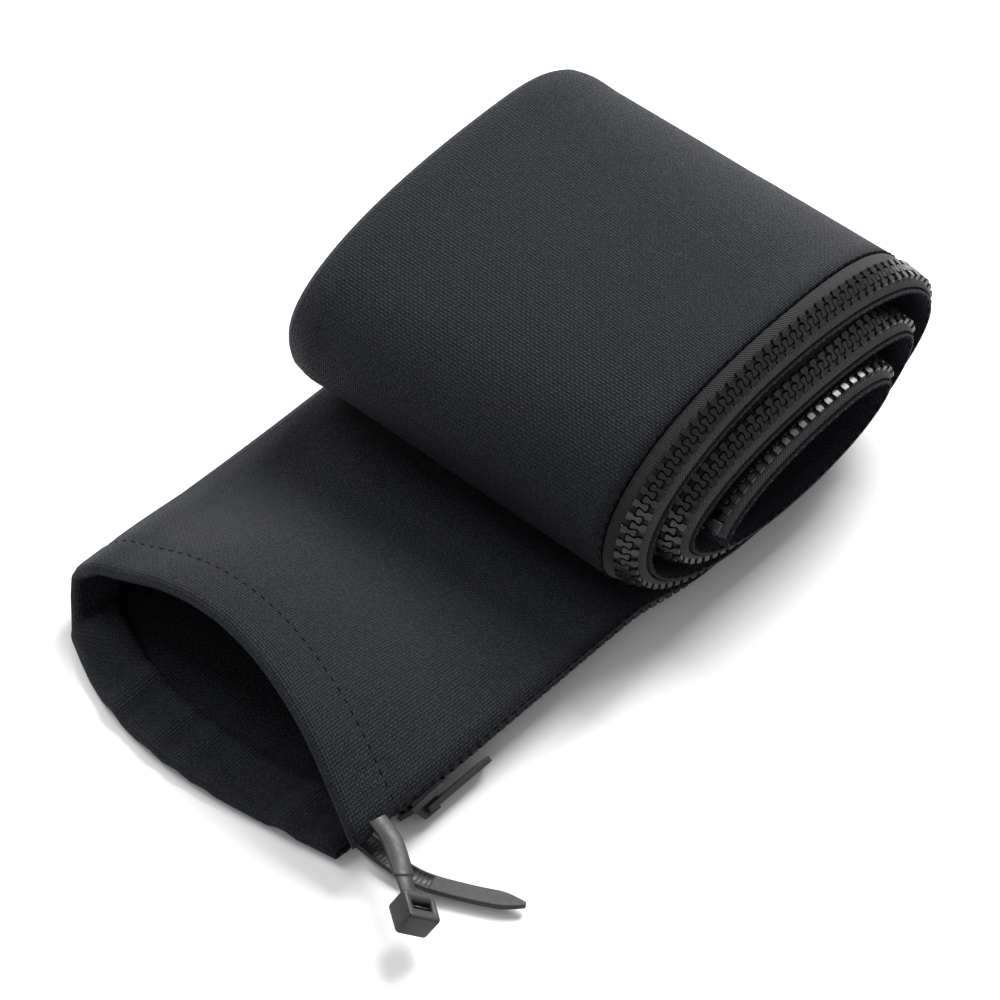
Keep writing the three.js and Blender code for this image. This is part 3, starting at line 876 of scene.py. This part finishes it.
def add_node(tree, kind, inputs=None, **settings):
    """Adds a node with its settings, and sets its inputs or links them, from nodes or sockets."""
    node = tree.nodes.new(kind)
    for key, value in settings.items():
        setattr(node, key, value)
    for key, value in (inputs or {}).items():
        if isinstance(value, bpy.types.Node):
            value = value.outputs[0]
        if isinstance(value, bpy.types.NodeSocket):
            tree.links.new(value, node.inputs[key])
        else:
            node.inputs[key].default_value = value
    return node


def new_material(name, **shader):
    """A material with its principled shader, set directly from the keywords."""
    material = bpy.data.materials.new(name)
    material.use_nodes = True
    tree = material.node_tree
    tree.nodes.clear()
    body = add_node(tree, "ShaderNodeBsdfPrincipled")
    for key, value in shader.items():
        body.inputs[key.replace("_", " ")].default_value = value
    add_node(tree, "ShaderNodeOutputMaterial", {"Surface": body})
    return material, tree, body


def ridges(tree, place, pitch):
    """Waves with a half wave to a pitch, and their ridges, along a place in mm."""
    turn = add_node(tree, "ShaderNodeMath", {0: place, 1: math.pi / pitch}, operation="MULTIPLY")
    waves = add_node(tree, "ShaderNodeMath", {0: turn}, operation="SINE")
    return waves, add_node(tree, "ShaderNodeMath", {0: waves}, operation="ABSOLUTE")


def weave(tree, place, pitch):
    """Height of a plain weave: yarns pass over and under the yarns across them, one by one. It also masks
    the painted shade between the yarns.
    """
    wave_u, ridge_u = ridges(tree, place.outputs["X"], pitch)
    wave_v, ridge_v = ridges(tree, place.outputs["Y"], pitch)
    check = add_node(tree, "ShaderNodeMath", {0: wave_u, 1: wave_v}, operation="MULTIPLY")
    over = add_node(tree, "ShaderNodeMapRange", {"Value": check, 1: -1 / 3, 2: 1 / 3, 3: 0.0, 4: 1.0})
    return add_node(tree, "ShaderNodeMix", {
        FACTOR: over, VALUE_A: ridge_u, VALUE_B: ridge_v,
    }, data_type="FLOAT")


def woven_polyester():
    """Black plain-woven polyester: matt yarn crowns that catch a little grey light, and painted shade
    between the yarns.
    """
    material, tree, body = new_material(
        "woven_polyester_cloth", Roughness=0.68, Specular_IOR_Level=0.14, IOR=1.5,
        Sheen_Weight=0.03, Sheen_Roughness=0.4, Sheen_Tint=toned(linear("#8a8d94")),
    )
    cloth = colours().cloth
    uv = add_node(tree, "ShaderNodeUVMap", uv_map="cloth_mm")
    crown = weave(tree, add_node(tree, "ShaderNodeSeparateXYZ", {0: uv}), YARN_PITCH)
    spot = add_node(tree, "ShaderNodeTexCoord").outputs["Object"]
    fleck, drift = (
        add_node(tree, "ShaderNodeTexNoise", {"Vector": spot, "Scale": per_metre(size), "Detail": 2.0})
        for size in (FLECK, DRIFT)
    )
    flecked = add_node(tree, "ShaderNodeMapRange", {"Value": fleck, 1: 0.42, 2: 0.75, 4: 0.75})
    drifted = add_node(tree, "ShaderNodeMath", {0: drift, 1: 0.25}, operation="MULTIPLY")
    # Painted shade: the colour starts dark in the gaps between yarns and reaches the cloth's own colour on
    # the crowns
    colour = toned(cloth, YARN_GAP_PAINTED_SHADE)
    for factor, tone in ((crown, 1.0), (flecked, FLECK_TONE), (drifted, DRIFT_TONE)):
        mixed = add_node(tree, "ShaderNodeMix", {
            FACTOR: factor, COLOUR_A: colour, COLOUR_B: toned(cloth, tone),
        }, data_type="RGBA")
        colour = mixed.outputs[MIXED_COLOUR]
    tree.links.new(colour, body.inputs["Base Color"])
    rough = add_node(tree, "ShaderNodeMath", {0: fleck, 1: 0.5}, operation="MULTIPLY")
    height = add_node(tree, "ShaderNodeMath", {0: crown, 1: rough}, operation="ADD")
    bump = add_node(tree, "ShaderNodeBump", {
        "Height": height, "Strength": 1.0, "Distance": YARN_HEIGHT * MM,
    })
    tree.links.new(bump.outputs[0], body.inputs["Normal"])
    return material


def twill_tape():
    """Black polyester zip tape: a fine slanting rib, flatter and duller than the cloth, with painted shade
    in the grooves between ribs.
    """
    material, tree, body = new_material(
        "zip_tape_twill", Roughness=0.75, Specular_IOR_Level=0.25, Sheen_Weight=0.1, IOR=1.5
    )
    tape = colours().tape
    uv = add_node(tree, "ShaderNodeUVMap", uv_map="cloth_mm")
    place = add_node(tree, "ShaderNodeSeparateXYZ", {0: uv})
    slope = add_node(tree, "ShaderNodeMath", {0: place.outputs["Y"], 1: RIB_SLANT}, operation="MULTIPLY")
    slant = add_node(tree, "ShaderNodeMath", {0: place.outputs["X"], 1: slope}, operation="ADD")
    rib = ridges(tree, slant, RIB_PITCH)[1]
    cross = ridges(tree, place.outputs["Y"], RIB_CROSS_PITCH)[1]
    lower = add_node(tree, "ShaderNodeMath", {0: cross, 1: 0.5}, operation="MULTIPLY")
    height = add_node(tree, "ShaderNodeMath", {0: rib, 1: lower}, operation="ADD")
    # Painted shade: the grooves between ribs are drawn darker than the rib crowns
    shade = add_node(tree, "ShaderNodeMix", {
        FACTOR: rib, COLOUR_A: toned(tape, TAPE_GAP_PAINTED_SHADE), COLOUR_B: toned(tape),
    }, data_type="RGBA")
    tree.links.new(shade.outputs[MIXED_COLOUR], body.inputs["Base Color"])
    bump = add_node(tree, "ShaderNodeBump", {
        "Height": height, "Strength": 0.7, "Distance": RIB_HEIGHT * MM,
    })
    tree.links.new(bump.outputs[0], body.inputs["Normal"])
    return material


def grained(name, colour, darker, roughness, grain, height, **shader):
    """A smooth finish: two near tones in patches and a fine grain, by Object coordinates."""
    material, tree, body = new_material(name, Roughness=roughness, **shader)
    spot = add_node(tree, "ShaderNodeTexCoord").outputs["Object"]
    fine = add_node(tree, "ShaderNodeTexNoise", {"Vector": spot, "Scale": per_metre(grain), "Detail": 4.0})
    patches = add_node(tree, "ShaderNodeTexNoise", {
        "Vector": spot, "Scale": per_metre(grain * PATCH_GRAINS), "Detail": 2.0,
    })
    tone = add_node(tree, "ShaderNodeMix", {
        FACTOR: patches, COLOUR_A: toned(colour, darker), COLOUR_B: toned(colour),
    }, data_type="RGBA")
    tree.links.new(tone.outputs[MIXED_COLOUR], body.inputs["Base Color"])
    rough = add_node(tree, "ShaderNodeMapRange", {
        "Value": fine, 1: 0.3, 2: 0.7, 3: roughness - 0.06, 4: roughness + 0.08,
    })
    tree.links.new(rough.outputs[0], body.inputs["Roughness"])
    bump = add_node(tree, "ShaderNodeBump", {"Height": fine, "Strength": 0.3, "Distance": height * MM})
    tree.links.new(bump.outputs[0], body.inputs["Normal"])
    return material


def acetal_teeth():
    """Injection-moulded acetal: hard and glossy, so the teeth glint."""
    return grained("acetal_teeth", colours().teeth, 0.51, 0.3, TEETH_GRAIN, 0.02, IOR=1.48)


def enamelled_zinc():
    """Satin enamel baked on a zinc casting: smooth, with a thin gloss over it."""
    return grained(
        "enamelled_zinc", colours().enamel, 0.5, 0.34, ENAMEL_GRAIN, 0.02, IOR=1.5, Coat_Weight=0.3
    )


def moulded_nylon():
    """Moulded nylon with a satin skin: its highlights are wide and soft."""
    return grained("moulded_nylon", colours().tie, 0.65, 0.52, NYLON_GRAIN, 0.03, IOR=1.45)


def sewing_thread():
    """Twisted polyester thread: matt, with hardly any highlight."""
    return grained(
        "sewing_thread", colours().thread, 0.335, 0.8, THREAD_GRAIN, 0.08, Specular_IOR_Level=0.05
    )


# Each slot's material by name, and the function that makes it
FINISHES = {
    "woven_polyester": ("woven_polyester_cloth", woven_polyester),
    "zip_tape": ("zip_tape_twill", twill_tape),
    "moulded_teeth": ("acetal_teeth", acetal_teeth),
    "slider_metal": ("enamelled_zinc", enamelled_zinc),
    "tie_nylon": ("moulded_nylon", moulded_nylon),
    "thread": ("sewing_thread", sewing_thread),
}


def finish(slot):
    """The material of a slot, made when it is first asked for."""
    name, make = FINISHES[slot]
    return bpy.data.materials.get(name) or make()


# Pieces


def make_cloth():
    """The woven tube with its hem folded into the mouth."""
    grid, along, across = cloth_grid()
    obj = shell_mesh("sleeve_cloth", grid, mm(sizes().cloth_thick), along, across)
    obj.data.materials.append(finish("woven_polyester"))
    return obj, (across[-1] * MM, along[-1] * MM)


def hem_channel():
    """Where the tie's strap lies in the hem: points, outward normals and inward steps."""
    start, step, normals, gap = hem_edge(cloth_body()[0])
    return start + step * TIE_ROW - normals * gap / 2, normals, step


def make_stitches():
    """Rows of stitches: along both seams of the zip and across the hem."""
    s = sizes()
    grid, _, across = cloth_grid()
    body = grid[HEM_ROWS:]
    normals = grid_normals(grid)[HEM_ROWS:]
    outside = body + normals * mm(s.cloth_thick) / 2
    places = []
    for side in (SEAM_INSET, across[-1] - SEAM_INSET):
        column = int(np.argmin(abs(across - side)))
        places += spaced_places(outside[:, column], normals[:, column], mm(s.stitch_pitch))
    # The first row left out stands for the length that the hem's turn takes up
    travelled = travelled_along(body)[1:]
    row = int(np.argmin(abs(travelled - (mm(s.hem_depth) - HEM_STITCH_INSET))))
    places += spaced_places(outside[row], normals[row], mm(s.stitch_pitch))
    return placed_copies("seam_stitches", stitch_template(), places, finish("thread"))


def points_at(line, lengths, wanted):
    """Points of a line at the wanted distances along it."""
    return np.stack([np.interp(wanted, lengths, line[:, k]) for k in range(3)], axis=1)


def spaced_places(line, normals, pitch):
    """Places at even distances along a line of points, with outward and along directions."""
    lengths = travelled_along(line)
    wanted = np.arange(pitch / 2, lengths[-1], pitch)
    points = shifted(points_at(line, lengths, wanted))
    ahead = points_at(line, lengths, wanted + LOOK_AHEAD)
    behind = points_at(line, lengths, wanted - LOOK_AHEAD)
    return [
        (Vector(point), Vector(out).normalized(), Vector(way).normalized())
        for point, out, way in zip(points, points_at(normals, lengths, wanted), ahead - behind)
    ]


def make_teeth(name, path, outer):
    """One side's separate teeth, moulded on the tape's cord, from the slider to the stop."""
    first = slider_distance() + TEETH_START
    count = int((path.total - TAPE_END - TEETH_END - first) / TOOTH_PITCH)
    places = []
    for i in range(count if outer else count + 1):
        distance = first + (i + 0.5 if outer else i) * TOOTH_PITCH
        corners, out, _, along = path.at(distance)
        middle = (corners[1] + corners[2]) / 2
        places.append((Vector(shifted(middle)), out, along if outer else -along))
    return placed_copies(name, tooth_template(), places, finish("moulded_teeth"))


def slider_distance():
    """The slider's middle, by distance along the chain from the mouth."""
    return mm(sizes().hem_depth) + TAPE_END + SLIDER_LENGTH / 2 + SLIDER_GAP


def bevelled_copy(name, node, width, slot_name):
    """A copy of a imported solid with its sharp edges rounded."""
    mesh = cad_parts[node].data.copy()
    mesh.name = name
    mesh.materials.clear()
    work = bmesh.new()
    work.from_mesh(mesh)
    bmesh.ops.remove_doubles(work, verts=work.verts, dist=MERGE_DISTANCE * MM)
    bmesh.ops.dissolve_limit(work, angle_limit=FLAT_ANGLE, verts=work.verts, edges=work.edges)
    sharp = [e for e in work.edges if len(e.link_faces) == 2 and e.calc_face_angle(0) > SHARP_ANGLE]
    bmesh.ops.bevel(
        work, geom=sharp, offset=width * MM, offset_type="OFFSET", segments=2,
        profile=EDGE_FULLNESS, affect="EDGES", clamp_overlap=True,
    )
    work.to_mesh(mesh)
    work.free()
    for layer in list(mesh.uv_layers):
        mesh.uv_layers.remove(layer)
    mesh.shade_smooth()
    mesh.materials.append(finish(slot_name))
    return linked(name, mesh)


def smooth_line(points, others, step):
    """Points resampled evenly along a smooth curve, and other rows of values with them."""
    points = np.asarray(points, float)
    lengths = travelled_along(points)
    wanted = np.linspace(0, lengths[-1], int(lengths[-1] / step) + 1)
    weights = hermite_matrix(lengths, wanted)
    return weights @ points, weights @ np.asarray(others, float), wanted


def unit_rows(rows):
    """Rows of values, each made one long."""
    return rows / np.linalg.norm(rows, axis=1)[:, None]


def make_tie():
    """The cable tie: bevelled head with its slot and pawl, strap through the hem, ribbed tail."""
    inside, normals, _ = (values[::TIE_SKIP] for values in hem_channel())
    up = np.array((0.0, 0.0, 1.0))
    tail = [inside[0] + np.array(place) for place in TAIL_ROUTE][::-1]
    head = [inside[-1] + np.array(place) for place in HEAD_ROUTE]
    sideways = np.array(HEAD_SIDE) / np.linalg.norm(HEAD_SIDE)
    thins = [-up for _ in tail] + list(normals)
    thins += [up + (sideways - up) * share for share in HEAD_TURN]
    points, thins, lengths = smooth_line([*tail, *inside, *head], thins, TIE_STEP)
    ribs_end = travelled_along(np.array([*tail, inside[0]]))[-1] - RIBS_END
    neck = lengths[-1] - NECK_LENGTH
    along = unit_rows(np.gradient(points, axis=0))
    wides = unit_rows(np.cross(along, thins))
    thins = np.cross(wides, along)
    rings = []
    for point, wide, thin, distance in zip(points, wides, thins, lengths):
        narrower = NECK_NARROWER if distance > neck else 1.0
        tip = math.sin(min(1.0, distance / TIP_LENGTH) * math.pi / 2)
        half = mm(sizes().tie_width) / 2 * mix(TIP_WIDTH, 1, tip) * narrower
        ribbed = RIBS_START < distance < ribs_end
        tooth = RIB_DEPTH * (1 - (distance / TIE_RIB_PITCH) % 1) if ribbed else 0.0
        rings.append(tie_ring(point, wide * half, thin, TIE_THICK / 2 * narrower, tooth))
    strap = ring_mesh("cable_tie_strap", rings)
    front = along[-1]
    middle = points[-1] + front * (HEAD_LONG / 2 - HEAD_OVERLAP)
    block = tie_head(middle, front, wides[-1], thins[-1])
    for obj in (strap, block):
        obj.data.materials.append(finish("tie_nylon"))
    return strap, block


def tie_ring(point, side, thin, thick, tooth):
    """One section of the strap: rounded edges and, on its ribbed face, a lowered middle."""
    top = ((-1, -0.6), (-0.93, -1), (-0.72, -1), (-0.66, -1 + tooth / thick))
    top += tuple((-w, k) for w, k in reversed(top))
    bottom = ((1, 0.6), (0.93, 1), (-0.93, 1), (-1, 0.6))
    return [point + side * w + thin * (k * thick) for w, k in top + bottom]


def rounded_loop(half_x, half_y, radius):
    """Points round a rectangle with round corners."""
    loop = []
    for corner in range(4):
        middle_x = (half_x - radius) * (1 if corner in (0, 3) else -1)
        middle_y = (half_y - radius) * (1 if corner in (0, 1) else -1)
        for i in range(CORNER_POINTS):
            angle = math.pi / 2 * (corner + i / (CORNER_POINTS - 1))
            loop.append((middle_x + radius * math.cos(angle), middle_y + radius * math.sin(angle)))
    return loop


def tie_head(middle, along, wide, thin):
    """The tie's head: a block with a slot through it and a pawl inside the slot."""
    outer = rounded_loop(HEAD_LONG / 2, HEAD_WIDE / 2, HEAD_CORNER)
    slot = rounded_loop(SLOT[0] / 2, SLOT[1] / 2, SLOT_CORNER)
    deep = HEAD_DEEP / 2
    profile = [(share, drop - deep) for share, drop in HEAD_PROFILE]
    profile += [(share, -k) for share, k in reversed(profile)]
    points = [
        (mix(hole[0], side[0], share), mix(hole[1], side[1], share), k)
        for share, k in profile
        for side, hole in zip(outer, slot)
    ]
    faces = ring_faces(len(outer), len(profile), closed=True)
    # The pawl is rooted in one wall of the slot and leans up across it
    far = SLOT[0] / 2
    pawl = (
        (-far - 0.2, -1.6), (-far + 0.3, -1.8), (far - 0.6, deep - 0.7), (far - 1, deep - 0.5),
        (-far - 0.2, 1.2),
    )
    faces += ring_faces(len(pawl), 2, first=len(points))
    half = SLOT[1] / 2 - PAWL_SIDE
    points += [(x, side, z) for side in (half, -half) for x, z in pawl]
    placed = [middle + along * x + wide * y + thin * z for x, y, z in points]
    return mesh_object("cable_tie_head", shifted(placed), faces)


def declare(obj, node, body=BODY):
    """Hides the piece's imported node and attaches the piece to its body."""
    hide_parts(node)
    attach(obj, body)


def report(operator, obj):
    """Fails the operator's run if a piece came out empty, and says what was made."""
    if not obj.data.polygons:
        raise RuntimeError(f"{obj.name} has no faces")
    operator.report({"INFO"}, f"Made {obj.name}, {len(obj.data.polygons)} faces")
    return {"FINISHED"}


class SLEEVE_OT_cloth(bpy.types.Operator):
    """Builds the woven cloth with its hem"""

    bl_idname = "sleeve.cloth"
    bl_label = "Cloth"

    def execute(self, context):
        obj, flat = make_cloth()
        declare(obj, "sleeve_fabric")
        return report(self, obj)


class SLEEVE_OT_stitches(bpy.types.Operator):
    """Sews the stitches along the zip's seams and the hem"""

    bl_idname = "sleeve.stitches"
    bl_label = "Stitches"

    def execute(self, context):
        obj = make_stitches()
        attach(obj, BODY)
        return report(self, obj)


class SLEEVE_OT_zip(bpy.types.Operator):
    """Builds both tapes and both rows of teeth"""

    bl_idname = "sleeve.zip"
    bl_label = "Zip"

    def execute(self, context):
        path = ZipPath(PATH_STEP)
        for outer, side in ((True, "outer"), (False, "inner")):
            tape = zip_tape(f"zip_tape_{side}_twill", path, outer)
            declare(tape, f"zip_tape_{side}")
            teeth = make_teeth(f"zip_teeth_{side}_moulded", path, outer)
            declare(teeth, f"zip_teeth_{side}")
            report(self, teeth)
        return {"FINISHED"}


class SLEEVE_OT_slider(bpy.types.Operator):
    """Builds the slider, its pull tab and the zip's end stop"""

    bl_idname = "sleeve.slider"
    bl_label = "Slider"

    def execute(self, context):
        slider = bevelled_copy("zip_slider_body", "zip_slider", SLIDER_EDGE, "slider_metal")
        declare(slider, "zip_slider")
        tab = bevelled_copy("zip_slider_tab", "zip_pull_tab", TAB_EDGE, "slider_metal")
        declare(tab, "zip_pull_tab", TAB_BODY)
        stop = bevelled_copy("zip_stop_moulded", "zip_end_stop", STOP_EDGE, "moulded_teeth")
        declare(stop, "zip_end_stop")
        for obj in (slider, tab):
            report(self, obj)
        return report(self, stop)


class SLEEVE_OT_tie(bpy.types.Operator):
    """Builds the cable tie threaded through the hem"""

    bl_idname = "sleeve.tie"
    bl_label = "Cable tie"

    def execute(self, context):
        strap, head = make_tie()
        for obj in (strap, head):
            declare(obj, "cable_tie")
            report(self, obj)
        return {"FINISHED"}


# Stage


def aimed(name, data, place):
    """A new object at a place in metres, looking at the camera's target."""
    obj = linked(name, data)
    obj.location = place
    obj.rotation_mode = "QUATERNION"
    obj.rotation_quaternion = (Vector(CAMERA_TARGET) - Vector(place)).to_track_quat("-Z", "Y")
    return obj


def add_lamp(name, place, size, power):
    """A soft square lamp at a place in metres."""
    data = bpy.data.lights.new(name, "AREA")
    data.shape = "SQUARE"
    data.size = size
    data.energy = power
    return aimed(name, data, place)


def white_world(strength):
    """White surround that lights softly and shows pure white to the camera."""
    world = bpy.data.worlds.new("white_surround")
    world.use_nodes = True
    tree = world.node_tree
    tree.nodes.clear()
    rays = add_node(tree, "ShaderNodeLightPath")
    seen = add_node(tree, "ShaderNodeMath", {
        0: rays.outputs["Is Camera Ray"], 1: rays.outputs["Is Transmission Ray"],
    }, operation="MAXIMUM")
    level = add_node(tree, "ShaderNodeMix", {
        FACTOR: seen, VALUE_A: strength, VALUE_B: 1.0,
    }, data_type="FLOAT")
    white = add_node(tree, "ShaderNodeBackground", {"Strength": level, "Color": (1, 1, 1, 1)})
    add_node(tree, "ShaderNodeOutputWorld", {"Surface": white})
    return world


def add_floor(colour):
    """A wide sheet of white paper under the sleeve."""
    half = FLOOR_HALF
    mesh = bpy.data.meshes.new("floor")
    corners = [(-half, -half, 0), (half, -half, 0), (half, half, 0), (-half, half, 0)]
    mesh.from_pydata(corners, [], [[0, 1, 2, 3]])
    paper, _, _ = new_material(
        "white_paper", Roughness=0.9, Base_Color=toned(colour), Specular_IOR_Level=0.0
    )
    mesh.materials.append(paper)
    return linked("floor", mesh)


class SLEEVE_OT_stage(bpy.types.Operator):
    """Sets the floor, lamps, surround and camera"""

    bl_idname = "sleeve.stage"
    bl_label = "Stage"

    def execute(self, context):
        settings = context.scene.sleeve_stage
        floor = add_floor(settings.floor_colour)
        for name, (place, size, power) in LAMPS.items():
            add_lamp(name, place, size, getattr(settings, power))
        context.scene.world = white_world(settings.world_strength)
        lens = bpy.data.cameras.new("camera")
        lens.lens = 180
        lens.sensor_width = 36
        lens.sensor_fit = "HORIZONTAL"
        lens.clip_start = 0.05
        context.scene.camera = aimed("camera", lens, CAMERA_PLACE)
        context.scene.view_settings.view_transform = "Standard"
        return {"FINISHED"}


STEPS = (
    SLEEVE_OT_cloth,
    SLEEVE_OT_stitches,
    SLEEVE_OT_zip,
    SLEEVE_OT_slider,
    SLEEVE_OT_tie,
    SLEEVE_OT_stage,
)


class SLEEVE_PT_panel(bpy.types.Panel):
    """Lists the sizes and the steps that build the sleeve"""

    bl_idname = "SLEEVE_PT_panel"
    bl_label = "Cable sleeve"
    bl_space_type = "VIEW_3D"
    bl_region_type = "UI"
    bl_category = "Sleeve"

    def draw(self, context):
        """Shows each setting and a button for each step."""
        scene = context.scene
        for settings in (scene.sleeve_sizes, scene.sleeve_colours, scene.sleeve_stage):
            for key in settings.bl_rna.properties.keys():
                if key not in ("rna_type", "name"):
                    self.layout.prop(settings, key)
        for step in STEPS:
            self.layout.operator(step.bl_idname)


CLASSES = (SleeveSizes, SleeveColours, StageSettings, *STEPS, SLEEVE_PT_panel)


def register():
    """Adds the classes and the scene's settings."""
    for cls in CLASSES:
        bpy.utils.register_class(cls)
    bpy.types.Scene.sleeve_sizes = PointerProperty(type=SleeveSizes)
    bpy.types.Scene.sleeve_colours = PointerProperty(type=SleeveColours)
    bpy.types.Scene.sleeve_stage = PointerProperty(type=StageSettings)


def unregister():
    """Takes the settings and the classes away again."""
    del bpy.types.Scene.sleeve_sizes
    del bpy.types.Scene.sleeve_colours
    del bpy.types.Scene.sleeve_stage
    for cls in reversed(CLASSES):
        bpy.utils.unregister_class(cls)


def main():
    register()
    bpy.ops.sleeve.cloth()
    bpy.ops.sleeve.stitches()
    bpy.ops.sleeve.zip()
    bpy.ops.sleeve.slider()
    bpy.ops.sleeve.tie()
    bpy.ops.sleeve.stage()


if __name__ == "__main__":
    main()
